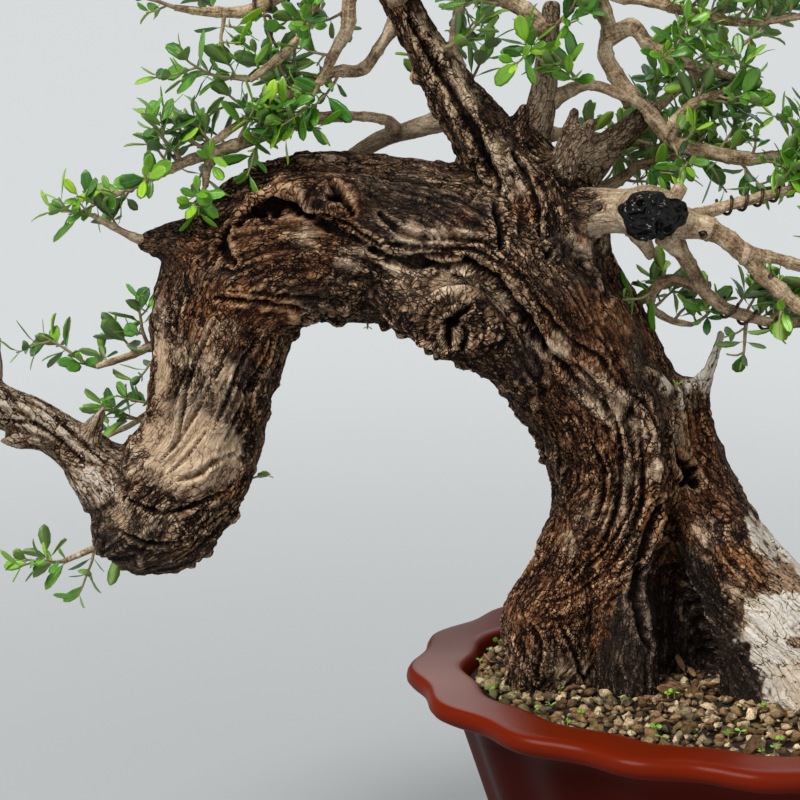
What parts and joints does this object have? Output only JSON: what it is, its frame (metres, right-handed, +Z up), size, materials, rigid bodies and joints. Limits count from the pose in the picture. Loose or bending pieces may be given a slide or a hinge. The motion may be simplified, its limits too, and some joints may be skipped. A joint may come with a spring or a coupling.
{
  "type": "olive bonsai",
  "caption": "Old olive bonsai whose hollowed trunk arches over and hooks down into dead wood, with a small-leaved crown on wired limbs, in an oval lobed clay pot of grit on feet.",
  "frame": {"origin": "centre of the whole part's footprint box, at the level of the pot's feet", "axes": "+X to the right of the tree's front, along the length of the oval pot; +Y to the back; +Z up"},
  "size_m": [0.9216, 0.447, 0.7937],
  "materials": {
    "fired_clay": "satin",
    "grit": "matte",
    "plastic_mesh": "matte",
    "bark": "matte",
    "wound_paste": "satin",
    "wire_metal": "satin",
    "foliage": "satin"
  },
  "bodies": {
    "root": {"pot": "fired_clay", "soil": "grit", "drain_mesh_left": "plastic_mesh", "drain_mesh_right": "plastic_mesh", "trunk": "bark", "cut_paste": "wound_paste", "wire_top_left": "wire_metal", "wire_right_under": "wire_metal", "wire_right": "wire_metal", "spray_01_long_left": "foliage", "spray_02_long_left": "foliage", "spray_03_long_left": "foliage", "spray_04_left_drop": "foliage", "spray_05_snag_twig": "foliage", "spray_06_upper_left": "foliage", "spray_07_upper_left": "foliage", "spray_08_left_sweep": "foliage", "spray_09_left_sweep": "foliage", "spray_10_left_hanger": "foliage", "spray_11_top_left": "foliage", "spray_12_top_left": "foliage", "spray_13_top_left": "foliage", "spray_14_apex": "foliage", "spray_15_broken_top": "foliage", "spray_16_broken_top": "foliage", "spray_17_back_shelf": "foliage", "spray_18_back_shelf": "foliage", "spray_19_back_shelf": "foliage", "spray_20_back_fork": "foliage", "spray_21_riser": "foliage", "spray_22_cut_shelf": "foliage", "spray_23_high_shelf": "foliage", "spray_24_high_shelf": "foliage", "spray_25_low_shelf": "foliage", "spray_26_right_wired": "foliage", "spray_27_right_wired": "foliage", "spray_28_right_mid": "foliage", "spray_29_right_low": "foliage", "spray_30_right_low": "foliage", "spray_31_right_under": "foliage", "spray_32_right_under": "foliage", "spray_33_wired_low": "foliage", "spray_34_hook_high": "foliage", "spray_35_hook_high": "foliage", "spray_36_hook_low": "foliage", "spray_37_crown_left": "foliage", "spray_38_crown_right": "foliage", "spray_39_apex": "foliage", "spray_40_crown_back": "foliage", "spray_41_crown_back_right": "foliage", "spray_42_crown_front": "foliage"}
  },
  "joints": []
}
